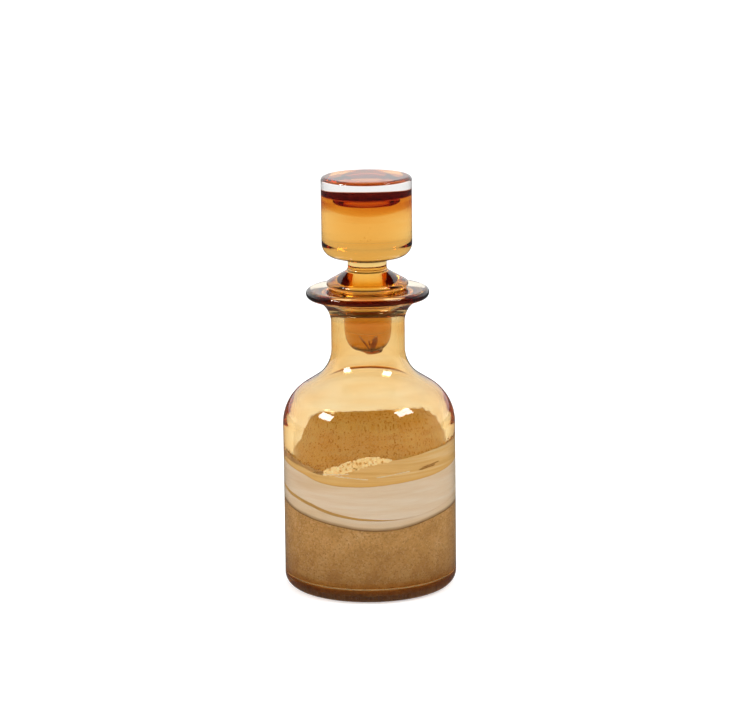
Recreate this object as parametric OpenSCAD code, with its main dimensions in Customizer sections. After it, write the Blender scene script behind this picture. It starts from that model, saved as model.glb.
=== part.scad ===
// A blown glass bottle with a loose glass stopper, in millimetres.
// +Z is up and the origin is the middle of the foot, on the table.
// The bottle is an amber gather inside a clear casing. Layers of sand coloured frit,
// white, ochre and gold glass are trapped between the two. The stopper lifts straight out.
// The front of the bottle faces -Y. Angles round the wall run from the front towards +X.

/* [Body] */
// Outer diameter of the body
body_d = 100; // [92:1:120]
// Height at which the straight side turns into the shoulder
shoulder_z = 96; // [92:1:130]
// Radius of the round shoulder
shoulder_r = 27; // [22:0.5:29]
// Slope of the shoulder below the neck, from upright
shoulder_slope = 57.5; // [50:0.5:60]
// Radius between the foot and the side
heel_r = 7.5; // [5:0.5:10]
// Thickness of the whole wall at the body
wall_t = 5.5; // [5:0.1:7]
// Thickness of the whole glass under the inside
base_t = 6.4; // [6:0.1:16]
// Radius of the corner between the inside's floor and its wall
floor_corner = 4.5; // [4:0.5:9]
// Diameter of the ground hollow under the foot
foot_hollow_d = 30; // [20:1:50]
// Depth of the ground hollow under the foot
foot_hollow_h = 1.2; // [0.5:0.1:1.8]

/* [Neck and lip] */
// Outer diameter of the neck
neck_d = 42.6; // [40:0.2:46]
// Length of the straight neck
neck_len = 15; // [8:0.5:30]
// Radius between the shoulder and the neck
neck_fillet = 20; // [14:0.5:22]
// Thickness of the neck's wall
neck_wall_t = 4.3; // [3.6:0.1:5]
// Height over which the neck flares out to the lip
flare_h = 14.5; // [10:0.5:20]
// Outer diameter of the lip
lip_d = 71; // [66:0.5:84]
// Thickness of the lip, which is also the diameter of its round edge
lip_t = 5.4; // [4:0.1:7]
// Angle through which the flare's curve turns before it meets the lip
flare_turn = 80; // [65:1:88]
// Radius of the rounding between the bore and the lip's top
mouth_round = 3.5; // [2.5:0.1:4]

/* [Glass layers] */
// Thickness of the amber gather at the body
gather_t = 1.5; // [1:0.1:2]
// Thickness of the amber gather at the neck
neck_gather_t = 2.5; // [1.5:0.1:3]
// Thickness of the amber gather under the inside
gather_base_t = 1.6; // [1:0.1:2]
// Thickness of the sand layer
sand_t = 0.8; // [0.6:0.05:1]
// Thickness of each colour laid over the sand
band_t = 0.6; // [0.4:0.05:0.8]
// Thickness of the thread laid over the white band
thread_t = 0.35; // [0.2:0.05:0.5]
// Gap left between two pieces of glass that are fused together
fuse_gap = 0.05; // [0.02:0.01:0.1]

/* [Sand layer] */
// Height of the sand's top edge, half way round
sand_edge_z = 86; // [80:0.5:90]
// How far the sand's top edge dips on its low side
sand_edge_dip = 5.5; // [0:0.5:8]
// Angle of the low side, from the front towards the right
sand_edge_turn = -40; // [-180:5:180]

/* [White band] */
// Height of the white band's top edge, half way round
white_top_z = 75.5; // [70:0.5:78]
// How far that top edge dips on its low side
white_top_dip = 4; // [0:0.5:6]
// Angle of the top edge's low side
white_top_turn = 0; // [-180:5:180]
// Height of the white band's lower edge, half way round
white_low_z = 51.5; // [40:0.5:58]
// How far that lower edge dips on its low side
white_low_dip = 8; // [0:0.5:10]
// Angle of the lower edge's low side
white_low_turn = 8; // [-180:2:180]

/* [Ochre swirl] */
// Height of the ochre's top edge, half way round
ochre_top_z = 86; // [82:0.5:88]
// How far that top edge dips on its low side
ochre_top_dip = 12; // [6:0.5:14]
// Angle of the top edge's low side
ochre_top_turn = -12; // [-60:2:60]
// Least height of sand left bare above the ochre
ochre_margin = 2; // [1:0.5:5]

/* [Amber thread] */
// Height of the thread, half way round
thread_z = 58; // [54:0.5:62]
// How far the thread dips on its low side
thread_dip = 8.2; // [4:0.2:9]
// Angle of the thread's low side
thread_turn = 12; // [-60:2:60]
// Width of the thread
thread_w = 1.3; // [0.8:0.1:2]
// Angle at which the thread starts, on the right
thread_from = -52; // [-80:2:-20]
// Angle that the thread covers, going round by the left and the back
thread_sweep = 250; // [120:5:300]

/* [Gold frit] */
// Height of the top of the gold patch
frit_top_z = 86.5; // [83:0.5:90]
// Steepness of the gold patch's round outline
frit_arch = 100; // [70:5:140]
// Angle of the middle of the patch
frit_turn = 0; // [-60:2:60]

/* [Stopper] */
// Gap between the stopper's collar and the lip
seat_gap = 0.2; // [0.1:0.05:0.4]
// Gap between the plug and the bore of the neck
plug_gap = 3.5; // [2:0.1:5]
// Width of the ring on which the collar rests, round the mouth
seat_w = 0.7; // [0.5:0.1:4]
// Diameter of the knob
knob_d = 52; // [47:0.5:60]
// Height of the knob
knob_h = 46.5; // [36:0.5:60]
// Radius of the knob's lower edge
knob_low_r = 8; // [5:0.5:10]
// Radius of the knob's top edge
knob_top_r = 1.5; // [1:0.1:2.5]
// Diameter of the stem between the knob and the collar
stem_d = 22.4; // [16:0.2:25]
// Radius between the stem and the knob
stem_top_r = 3; // [2:0.1:3.6]
// Radius between the stem and the collar's cone
stem_low_r = 3; // [1.5:0.1:3.5]
// Height from the lip to the knob
stem_h = 18.3; // [17.5:0.1:26]
// Thickness of the collar's round edge
collar_t = 4.6; // [3.6:0.1:5.4]
// Slope of the collar's cone
collar_slope = 30; // [22:0.5:32]
// Depth of the plug below the collar
plug_len = 35.7; // [28:0.1:44]
// Height of the plug's rounded end
plug_round_h = 12.5; // [8:0.5:16]
// Diameter of the flat under the plug
plug_flat_d = 12; // [8:0.5:16]
// Radius between the plug and the collar's underside
plug_top_r = 3; // [1:0.1:3.2]

/* [Glass in the stopper] */
// Thickness of the clear glass over the amber core's top
knob_clear_top = 10.4; // [8:0.1:14]
// Thickness of the clear glass round the amber core
knob_skin = 2.2; // [1.2:0.1:3.5]
// Radius of the amber core's top edge
core_edge_r = 3.5; // [2:0.1:5]
// Thickness of the dark skin over the top of the gathers
dark_skin_t = 0.9; // [0.6:0.1:1.5]
// Thickness of the dark gather at its rim
dark_rim_t = 2; // [1:0.1:3]
// Depth to which the dark gather hangs below its rim
dark_drop = 9; // [5:0.5:12]
// How far the rough scar's edge is set in from the edge of the plug's flat
scar_in = 0.3; // [0:0.1:1.5]
// Height of the scar on its long side
scar_h = 2.6; // [1.5:0.1:4]
// Slope of the scar's broken face
scar_slope = 8; // [0:1:12]
// How far the scar stands off the stopper's axis
scar_off = 1.3; // [0:0.1:2]

/* [Hidden] */
$fn = 180;

// Steps along a small and a large arc
small_arc = 8;
large_arc = 14;

body_r = body_d / 2;
neck_r = neck_d / 2;
lip_r = lip_d / 2;
bore_r = neck_r - neck_wall_t;
knob_r = knob_d / 2;
stem_r = stem_d / 2;
plug_r = bore_r - plug_gap;
plug_flat_r = plug_flat_d / 2;
collar_edge_r = bore_r + mouth_round + seat_w;
hollow_r = foot_hollow_d / 2;
hollow_ball_r = (hollow_r * hollow_r + foot_hollow_h * foot_hollow_h) / (2 * foot_hollow_h);

// Where the shoulder's straight slope starts and ends, and how high the neck starts
slope_low_r = body_r - shoulder_r + shoulder_r * cos(shoulder_slope);
slope_high_r = neck_r + neck_fillet * (1 - cos(shoulder_slope));
slope_len = (slope_low_r - slope_high_r) / sin(shoulder_slope);
neck_low_z = shoulder_z + (shoulder_r + neck_fillet) * sin(shoulder_slope)
           + slope_len * cos(shoulder_slope);
neck_high_z = neck_low_z + neck_len;
lip_low_z = neck_high_z + flare_h;
lip_high_z = lip_low_z + lip_t;

// Radii and floors of the layers at the body, from the inside out
inside_r = body_r - wall_t;
gather_r = inside_r + gather_t;
sand_in_r = gather_r + fuse_gap;
sand_out_r = sand_in_r + sand_t;
band_in_r = sand_out_r + fuse_gap;
band_out_r = band_in_r + band_t;
thread_in_r = band_out_r + fuse_gap;
thread_out_r = thread_in_r + thread_t;
gather_floor_z = base_t - gather_base_t;
sand_floor_z = gather_floor_z - fuse_gap - sand_t;
sand_corner = floor_corner + gather_t + fuse_gap;

// Distance from the middle of the collar's round edge out to the foot of its cone
cone_step = 0.5;
// Angle round that edge at which it ends, short of upright
cone_start = 78;

// Heights and radii in the stopper
seat_z = lip_high_z + seat_gap;
knob_z = seat_z + stem_h;
top_z = knob_z + knob_h;
core_r = knob_r - knob_skin;
core_z = knob_z + knob_skin;
core_top_z = top_z - knob_clear_top;
core_open_r = stem_r + stem_top_r;
plug_low_z = seat_z - plug_len;
cone_r = collar_edge_r + cone_step;
cone_z = seat_z + collar_t;
big = 3 * body_d;

// Points along an arc round c, from angle a to angle b
function arc(c, r, a, b, n) =
    [for (i = [0:n]) let (t = a + (b - a) * i / n) [c[0] + r * cos(t), c[1] + r * sin(t)]];

// Slope at which a wall set in by these amounts joins the shoulder to the neck
function set_in_slope(at_body, at_neck) =
    let (dr = neck_r + neck_fillet - body_r + shoulder_r, dz = neck_low_z - shoulder_z)
    atan2(dz, dr) - acos((shoulder_r - at_body + neck_fillet + at_neck) / norm([dr, dz]));

// Side of the bottle from the shoulder up to height top, set in from the outside
function side(at_body, at_neck, top) =
    let (slope = set_in_slope(at_body, at_neck))
    concat(
        arc([body_r - shoulder_r, shoulder_z], shoulder_r - at_body, 0, slope, large_arc),
        arc([neck_r + neck_fillet, neck_low_z], neck_fillet + at_neck, 180 + slope, 180, large_arc),
        [[neck_r - at_neck, top]]);

// Lower end of a cup: its floor, then its corner
function cup(r, floor_z, corner) =
    concat([[0, floor_z]], arc([r - corner, floor_z + corner], corner, -90, 0, small_arc));

// Foot with its ground hollow, then the heel
function foot() =
    concat(
        [for (i = [0:small_arc - 1]) let (x = hollow_r * i / small_arc)
            [x, foot_hollow_h - hollow_ball_r + sqrt(hollow_ball_r * hollow_ball_r - x * x)]],
        [[hollow_r, 0]],
        arc([body_r - heel_r, heel_r], heel_r, -90, 0, small_arc));

function reversed(p) = [for (i = [len(p) - 1:-1:0]) p[i]];

// A solid of revolution between an outer and an inner outline
module between(outer, inner) {
    rotate_extrude() polygon(concat(outer, reversed(inner)));
}

// Everything below a slanted plane. It is z high on the axis and dips at the wall
// by dip, on the side that turn gives.
module below(z, dip, turn, grow = 0) {
    translate([0, 0, z + grow])
        rotate([0, 0, turn - 90])
            rotate([0, atan(dip / body_r), 0])
                translate([-big / 2, -big / 2, -big])
                    cube(big);
}

module above(z, dip, turn, grow = 0) {
    translate([0, 0, z - grow])
        rotate([0, 0, turn - 90])
            rotate([0, atan(dip / body_r), 0])
                translate([-big / 2, -big / 2, 0])
                    cube(big);
}

// A straight ring of the wall's thickness that holds a colour
module colour_ring(r_in, r_out, low, high, grow = 0) {
    rotate_extrude()
        translate([r_in - grow, low - grow])
            square([r_out - r_in + 2 * grow, high - low + 2 * grow]);
}

module sand_shape(grow = 0) {
    intersection() {
        between(
            concat(cup(sand_out_r + grow, sand_floor_z - grow, sand_corner + sand_t + grow),
                   [[sand_out_r + grow, shoulder_z]]),
            concat(cup(sand_in_r - grow, sand_floor_z + sand_t + grow, sand_corner - grow),
                   [[sand_in_r - grow, shoulder_z]]));
        below(sand_edge_z, sand_edge_dip, sand_edge_turn, grow);
    }
}

module white_shape(grow = 0) {
    intersection() {
        colour_ring(band_in_r, band_out_r, sand_corner, shoulder_z, grow);
        below(white_top_z, white_top_dip, white_top_turn, grow);
        above(white_low_z, white_low_dip, white_low_turn, grow);
    }
}

module ochre_shape(grow = 0) {
    intersection() {
        colour_ring(band_in_r, band_out_r, sand_corner, shoulder_z, grow);
        above(white_top_z + fuse_gap, white_top_dip, white_top_turn, grow);
        below(ochre_top_z, ochre_top_dip, ochre_top_turn, grow);
        below(sand_edge_z - ochre_margin, sand_edge_dip, sand_edge_turn, grow);
    }
}

module frit_shape(grow = 0) {
    intersection() {
        colour_ring(band_in_r, band_out_r, sand_corner, shoulder_z, grow);
        above(ochre_top_z + fuse_gap, ochre_top_dip, ochre_top_turn, grow);
        below(frit_top_z - frit_arch * band_out_r / body_r, -frit_arch, frit_turn, grow);
    }
}

module thread_shape(grow = 0) {
    intersection() {
        rotate([0, 0, thread_from - thread_sweep])
            rotate_extrude(angle = thread_sweep)
                translate([thread_in_r - grow, sand_corner])
                    square([thread_t + 2 * grow, shoulder_z - sand_corner]);
        below(thread_z + thread_w / 2, thread_dip, thread_turn, grow);
        above(thread_z - thread_w / 2, thread_dip, thread_turn, grow);
    }
}

// The outer layer of clear glass, from the foot to the top of the neck
module clear_casing() {
    color("#e6ddcf", 0.35)
        difference() {
            between(
                concat(foot(), side(0, 0, neck_high_z)),
                concat(cup(gather_r + fuse_gap, gather_floor_z - fuse_gap, sand_corner),
                       side(wall_t - gather_t - fuse_gap, neck_wall_t - neck_gather_t - fuse_gap,
                            neck_high_z)));
            sand_shape(fuse_gap);
            white_shape(fuse_gap);
            ochre_shape(fuse_gap);
            frit_shape(fuse_gap);
            thread_shape(fuse_gap);
        }
}

// The inner layer of amber glass, which holds what is in the bottle
module amber_gather() {
    color("#e0a040", 0.6)
        between(
            concat(cup(gather_r, gather_floor_z, sand_corner - fuse_gap),
                   side(wall_t - gather_t, neck_wall_t - neck_gather_t, neck_high_z)),
            concat(cup(inside_r, base_t, floor_corner), side(wall_t, neck_wall_t, neck_high_z)));
}

// The flared mouth and the flat lip with its round edge
module lip() {
    flare_out = lip_r - lip_t / 2 - neck_r;
    flare_low_z = neck_high_z + fuse_gap;
    color("#b8772e", 0.75)
        between(
            concat(
                [for (i = [0:large_arc]) let (t = flare_turn * i / large_arc)
                    [neck_r + flare_out * (1 - cos(t)) / (1 - cos(flare_turn)),
                     flare_low_z + (lip_low_z - flare_low_z) * sin(t) / sin(flare_turn)]],
                arc([lip_r - lip_t / 2, lip_low_z + lip_t / 2], lip_t / 2, -90, 90, large_arc)),
            concat(
                [[bore_r, flare_low_z]],
                arc([bore_r + mouth_round, lip_high_z - mouth_round], mouth_round, 180, 90, small_arc)));
}

// Sand coloured frit, a cup that lines the casing up to a slanted edge
module sand_layer() {
    color("#a67c45")
        sand_shape();
}

module white_band() {
    color("#dcc0a2")
        white_shape();
}

module ochre_swirl() {
    color("#c8944f")
        ochre_shape();
}

// A thin trail of amber glass wound most of the way round the white band
module amber_thread() {
    color("#b58b52")
        thread_shape();
}

// A patch of coarse gold coloured grains at the front, above the ochre
module gold_frit() {
    color("#dcb066")
        frit_shape();
}

// Outline of the amber core from the middle of its top down to its lower edge
function core_side(grow) =
    concat(
        [[0, core_top_z + grow]],
        arc([core_r - core_edge_r, core_top_z - core_edge_r], core_edge_r + grow, 90, 0, small_arc),
        arc([core_r - knob_low_r + knob_skin, core_z + knob_low_r - knob_skin],
            knob_low_r - knob_skin + grow, 0, -90, small_arc));

// Clear glass over the top and round the side of the knob
module knob_casing() {
    color("#e4e2dc", 0.35)
        rotate_extrude()
            polygon(concat(
                [[core_open_r + fuse_gap, knob_z]],
                arc([knob_r - knob_low_r, knob_z + knob_low_r], knob_low_r, -90, 0, small_arc),
                arc([knob_r - knob_top_r, top_z - knob_top_r], knob_top_r, 0, 90, small_arc),
                [[0, top_z]],
                core_side(fuse_gap),
                [[core_open_r + fuse_gap, core_z - fuse_gap]]));
}

// Heights of the faces between the dark layers, and the bowl that hangs in the core
dark_top_z = core_top_z - dark_skin_t - fuse_gap;
dark_rim_z = dark_top_z - dark_rim_t;
dark_ball_r = (core_r * core_r + dark_drop * dark_drop) / (2 * dark_drop);
function dark_bowl(grow) =
    [for (i = [0:large_arc]) let (x = core_r * (1 - i / large_arc))
        [x, dark_rim_z - dark_drop + dark_ball_r - sqrt(dark_ball_r * dark_ball_r - x * x) - grow]];

// All the coloured glass inside the knob, as one solid
module core_shape() {
    rotate_extrude() polygon(concat(core_side(0), [[0, core_z]]));
}

// Amber glass that fills the knob below the dark gather
module knob_core() {
    color("#e3992c", 0.7)
        intersection() {
            core_shape();
            rotate_extrude() polygon(concat(
                [[0, 0], [knob_r, 0], [knob_r, dark_rim_z - fuse_gap]],
                dark_bowl(fuse_gap)));
        }
}

// Deep amber glass over the core, with a bowl shaped underside
module dark_gather() {
    color("#a8560c", 0.85)
        intersection() {
            core_shape();
            rotate_extrude() polygon(concat(
                [[0, dark_top_z], [knob_r, dark_top_z], [knob_r, dark_rim_z]],
                dark_bowl(0)));
        }
}

// A thin skin of dense dark glass over the top of the gathers
module dark_skin() {
    color("#551410", 0.9)
        intersection() {
            core_shape();
            translate([0, 0, core_top_z - dark_skin_t])
                cylinder(r = knob_r, h = knob_h);
        }
}

// Stem, collar and plug, drawn out of one piece of amber glass
module stopper_shank() {
    cone_end_r = stem_r + stem_low_r * (1 - sin(collar_slope));
    cone_end_z = cone_z + (cone_r - cone_end_r) * tan(collar_slope);
    stem_low_z = cone_end_z + stem_low_r * cos(collar_slope);
    color("#d8912f", 0.75)
        rotate_extrude()
            polygon(concat(
                [[0, plug_low_z]],
                [for (i = [0:large_arc]) let (t = 90 * (1 - i / large_arc))
                    [plug_flat_r + (plug_r - plug_flat_r) * cos(t),
                     plug_low_z + plug_round_h * (1 - sin(t))]],
                arc([plug_r + plug_top_r, seat_z - plug_top_r], plug_top_r, 180, 90, small_arc),
                arc([collar_edge_r, seat_z + collar_t / 2], collar_t / 2, -90, cone_start, large_arc),
                [[cone_r, cone_z]],
                arc([stem_r + stem_low_r, stem_low_z], stem_low_r, 270 - collar_slope, 180, small_arc),
                arc([stem_r + stem_top_r, knob_z - stem_top_r], stem_top_r, 180, 90, small_arc),
                [[core_open_r, core_z - fuse_gap], [0, core_z - fuse_gap]]));
}

// Broken glass left under the plug where it was cracked off the iron
module pontil_scar() {
    scar_r = plug_flat_r - scar_in;
    color("#9a5514", 0.9)
        translate([scar_off, 0, plug_low_z - fuse_gap])
            intersection() {
                translate([0, 0, -scar_r])
                    cylinder(r = scar_r, h = scar_r);
                rotate([0, -scar_slope, 0])
                    translate([-big / 2, -big / 2, scar_r * sin(scar_slope) - scar_h])
                        cube(big);
            }
}

clear_casing();
amber_gather();
lip();
sand_layer();
white_band();
ochre_swirl();
amber_thread();
gold_frit();
knob_casing();
knob_core();
dark_gather();
dark_skin();
stopper_shank();
pontil_scar();
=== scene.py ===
"""A stoppered bottle of blown glass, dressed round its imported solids.

The bottle is an amber gather in a clear casing. Sand coloured grains, an off-white band, an ochre
trail, a thin amber thread and a patch of gold grains lie inside its wall. The stopper is a knob of
amber glass under a clear cap, with a dark layer between them, a stem, a collar and a plug.
Outlines are in millimetres, as radius and height, and a finished mesh is in metres.
"""

import logging
import math
import random
from dataclasses import dataclass, replace
from enum import Enum
from typing import Any, Sequence

import bpy
import numpy as np
from mathutils import Matrix, Vector, noise


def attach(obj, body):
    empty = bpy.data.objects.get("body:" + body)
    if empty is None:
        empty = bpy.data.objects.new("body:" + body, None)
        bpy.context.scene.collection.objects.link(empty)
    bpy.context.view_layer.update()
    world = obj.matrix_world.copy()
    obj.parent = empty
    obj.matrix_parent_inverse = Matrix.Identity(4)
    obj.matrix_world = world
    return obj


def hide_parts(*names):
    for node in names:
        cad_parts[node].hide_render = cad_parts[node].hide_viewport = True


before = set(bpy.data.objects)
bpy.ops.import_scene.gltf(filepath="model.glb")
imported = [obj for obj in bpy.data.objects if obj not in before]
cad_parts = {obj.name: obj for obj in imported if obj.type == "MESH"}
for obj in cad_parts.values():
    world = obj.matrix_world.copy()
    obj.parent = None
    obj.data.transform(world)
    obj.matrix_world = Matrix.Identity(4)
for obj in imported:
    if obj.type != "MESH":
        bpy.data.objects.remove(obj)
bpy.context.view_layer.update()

MM = 0.001
STEPS = 192
SEAT_GAP = 0.2
FADE = {"To Min": 1.0, "To Max": 0.0}
SMOOTH_ANGLE = math.radians(40)
log = logging.getLogger("bottle")

Point = tuple[float, float]
Outline = list[Point]
Rgba = tuple[float, float, float, float]
Mesh = bpy.types.Object
Tree = bpy.types.NodeTree
Node = bpy.types.Node
Socket = bpy.types.NodeSocket

# Colour and node helpers


def colour(code: str) -> Rgba:
    """Turns an sRGB hex code into the linear colour that a shader takes.

    Args:
        code: six hex digits after a hash mark.

    Returns:
        Red, green, blue and an alpha of one.
    """
    parts = [int(code[i : i + 2], 16) / 255 for i in (1, 3, 5)]
    linear = [c / 12.92 if c <= 0.04045 else ((c + 0.055) / 1.055) ** 2.4 for c in parts]
    return (linear[0], linear[1], linear[2], 1.0)


def add(tree: Tree, kind: str, inputs: dict | None = None, **settings: Any) -> Node:
    """Adds one node with its settings and links.

    Args:
        tree: the node tree that takes it.
        kind: the node's class without its ShaderNode prefix.
        inputs: for each input, by name or number, a value, a hex colour, an output socket, or a
            node, which stands for its first output in use.
        settings: the node's own properties, or stops for a colour ramp.

    Returns:
        The new node.
    """
    made = tree.nodes.new("ShaderNode" + kind)
    stops = settings.pop("stops", None)
    for name, value in settings.items():
        setattr(made, name, value)
    for key, value in (inputs or {}).items():
        if isinstance(value, Node):
            value = next(output for output in value.outputs if output.enabled)
        if isinstance(value, Socket):
            tree.links.new(value, made.inputs[key])
        else:
            made.inputs[key].default_value = colour(value) if isinstance(value, str) else value
    if stops:
        ramp = made.color_ramp
        while len(ramp.elements) < len(stops):
            ramp.elements.new(1.0)
        for element, (place, code) in zip(ramp.elements, stops):
            element.position = place
            element.color = colour(code)
    return made


def scale(size_mm: float) -> float:
    """Gives the pattern scale whose cells have that real size."""
    return 1 / (size_mm * MM)


def absorption(code: str, depth_mm: float) -> tuple[Rgba, float]:
    """Works out the Volume Absorption that leaves one colour of white light.

    Args:
        code: the hex colour that white light has after the depth.
        depth_mm: how much of the glass it has passed.

    Returns:
        The node's colour and its density, per metre.
    """
    darkest, room = 1e-5, 1.02
    lost = [-math.log(max(c, darkest)) / (depth_mm * MM) for c in colour(code)[:3]]
    density = room * max(lost)
    left = [1 - c / density for c in lost]
    return (left[0], left[1], left[2], 1.0), density


def eye_rays(tree: Tree) -> Node:
    """Tells the eye's own rays from others.

    Args:
        tree: the node tree that takes the nodes.

    Returns:
        A node that gives one for a ray from the eye, straight or through glass, that has met
        nothing matt.
    """
    path = add(tree, "LightPath").outputs
    seen = add(tree, "Math", {0: path["Is Camera Ray"], 1: path["Is Transmission Ray"]}, operation="MAXIMUM")
    return add(tree, "Math", {0: seen, 1: path["Diffuse Depth"]}, operation="SUBTRACT", use_clamp=True)


def mirror_rays(tree: Tree) -> Node:
    """Gives one for a ray that a shiny surface threw back, and zero for one that came through glass."""
    path = add(tree, "LightPath").outputs
    return add(tree, "Math", {0: path["Is Glossy Ray"], 1: path["Is Transmission Ray"]},
               operation="SUBTRACT", use_clamp=True)


# Finishes


@dataclass(frozen=True)
class Finish:
    """One finish: what the material is and how its surface was made."""

    name: str

    def build(self) -> bpy.types.Material:
        """Makes the material, with an empty tree that the finish's own nodes fill.

        Returns:
            The material.
        """
        material = bpy.data.materials.new(self.name)
        material.use_nodes = True
        tree = material.node_tree
        tree.nodes.clear()
        self.shade(tree, add(tree, "TexCoord").outputs["Object"])
        return material

    def shade(self, tree: Tree, place: Socket) -> None:
        """Fills the tree.

        Args:
            tree: the material's node tree.
            place: a point's place on the object, in metres.
        """
        raise NotImplementedError


@dataclass(frozen=True)
class ClearGlass(Finish):
    """Colourless soda-lime glass, blown: it bends what is behind it, with soft waves in its skin.

    Worked glass keeps slow ripples some 14 mm long from the tools, which bend highlights a little,
    and is a trace duller in patches.
    """

    ior: float = 1.5
    tint: str = "#fdfcfa"
    ripple_mm: float = 14.0
    ripple_height_mm: float = 0.03
    dull_per_m: float = 90.0
    rough_most: float = 0.012

    def shade(self, tree: Tree, place: Socket) -> None:
        """Fills the tree.

        Args:
            tree: the material's node tree.
            place: a point's place on the object, in metres.
        """
        wave = add(tree, "TexNoise", {"Vector": place, "Scale": scale(self.ripple_mm), "Detail": 1.0})
        dull = add(tree, "TexNoise", {"Vector": place, "Scale": self.dull_per_m, "Detail": 2.0})
        rough = add(tree, "MapRange", {"Value": dull, "From Min": 0.45, "From Max": 0.8,
                                       "To Max": self.rough_most})
        bump = add(tree, "Bump", {"Strength": 1.0, "Distance": self.ripple_height_mm * MM, "Height": wave})
        glass = add(tree, "BsdfPrincipled", {"Base Color": self.tint, "Transmission Weight": 1.0,
                                             "IOR": self.ior, "Roughness": rough, "Normal": bump})
        add(tree, "OutputMaterial", {"Surface": glass})


@dataclass(frozen=True)
class TintedGlass(Finish):
    """Coloured glass fused into other glass: nothing shows at its skin, and its depth gives the tint.

    The skin bends no light, because the glass round it has the same index. Slow streaks of a paler
    and a deeper tint run round it, as where the gathers were not quite even.
    """

    seen: str = "#f3c177"
    depth_mm: float = 5.0
    pale: str = "#ffffff"
    deep: str = "#fdf4e6"
    streak_mm: float = 9.0
    ior: float = 1.0

    def shade(self, tree: Tree, place: Socket) -> None:
        """Fills the tree.

        Args:
            tree: the material's node tree.
            place: a point's place on the object, in metres.
        """
        turned = add(tree, "Mapping", {"Vector": place, "Scale": (0.25, 0.25, 1.0)})
        streak = add(tree, "TexNoise", {"Vector": turned, "Scale": scale(self.streak_mm), "Detail": 2.0})
        tone = add(tree, "ValToRGB", {"Fac": streak}, stops=[(0.35, self.pale), (0.7, self.deep)])
        glass = add(tree, "BsdfPrincipled", {"Base Color": tone, "Roughness": 0.0,
                                             "Transmission Weight": 1.0, "IOR": self.ior})
        tint, density = absorption(self.seen, self.depth_mm)
        inside = add(tree, "VolumeAbsorption", {"Color": tint, "Density": density})
        add(tree, "OutputMaterial", {"Surface": glass, "Volume": inside})


@dataclass(frozen=True)
class GrainedGlass(Finish):
    """Crushed glass melted into a sheet: grains of several browns, some of which let light through.

    Real grains are about 0.5 mm, and are drawn 0.8 mm wide so that they show at this distance. A
    finish whose lit is above zero has a painted glow, which stands in for the light that real grains
    let through. Towards the bottom the grains are darker: painted shade.
    """

    base: str = "#e3b46c"
    dark: str = "#c69453"
    pale: str = "#f3d092"
    fleck: str = "#cf9f5f"
    cloud_mm: float = 11.0
    grain_mm: float = 0.8
    see_through: float = 0.3
    height_mm: float = 0.06
    low_mm: float = 34.0
    # Painted shade: the tone that the grains are multiplied by towards the bottom.
    low_shade_tone: str = "#d9c2a8"
    # Strength of a painted glow, which stands in for light let through the grains.
    lit: float = 0.0

    def shade(self, tree: Tree, place: Socket) -> None:
        """Fills the tree.

        Args:
            tree: the material's node tree.
            place: a point's place on the object, in metres.
        """
        cloud = add(tree, "TexNoise", {"Vector": place, "Scale": scale(self.cloud_mm), "Detail": 3.0})
        soft = add(tree, "ValToRGB", {"Fac": cloud},
                   stops=[(0.3, self.dark), (0.52, self.base), (0.75, self.pale)])
        grain = add(tree, "TexVoronoi", {"Vector": place, "Scale": scale(self.grain_mm)}).outputs
        each = add(tree, "SeparateColor", {"Color": grain["Color"]}).outputs
        lights = add(tree, "ValToRGB", {"Fac": each["Red"]},
                     stops=[(0.0, self.dark), (0.3, self.base), (0.7, self.base), (1.0, self.pale)])
        mixed = add(tree, "Mix", {"Factor": 0.55, "A": soft, "B": lights}, data_type="RGBA")
        spot = add(tree, "MapRange", {"Value": each["Green"], "From Min": 0.86, "From Max": 0.95})
        flecked = add(tree, "Mix", {"Factor": spot, "A": mixed, "B": self.fleck}, data_type="RGBA")
        # Painted shade: below low_mm the colour is multiplied towards the low tone, darker towards the
        # bottom.
        height = add(tree, "SeparateXYZ", {"Vector": place}).outputs["Z"]
        sunk = add(tree, "MapRange", {"Value": height, "From Max": self.low_mm * MM, **FADE})
        toned = add(tree, "Mix", {"Factor": sunk, "A": flecked, "B": self.low_shade_tone},
                    data_type="RGBA", blend_type="MULTIPLY")
        bump = add(tree, "Bump", {"Strength": 1.0, "Distance": self.height_mm * MM,
                                  "Height": grain["Distance"]})
        rough = add(tree, "MapRange", {"Value": each["Blue"], "To Min": 0.35, "To Max": 0.75})
        # The emission is a painted glow, lit times the grains' colour.
        solid = add(tree, "BsdfPrincipled", {
            "Base Color": toned, "Roughness": rough, "Specular IOR Level": 0.1, "Normal": bump,
            "Emission Color": toned, "Emission Strength": self.lit})
        through = add(tree, "BsdfTranslucent", {"Color": toned, "Normal": bump})
        both = add(tree, "MixShader", {"Fac": self.see_through, 1: solid, 2: through})
        add(tree, "OutputMaterial", {"Surface": both})


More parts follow.
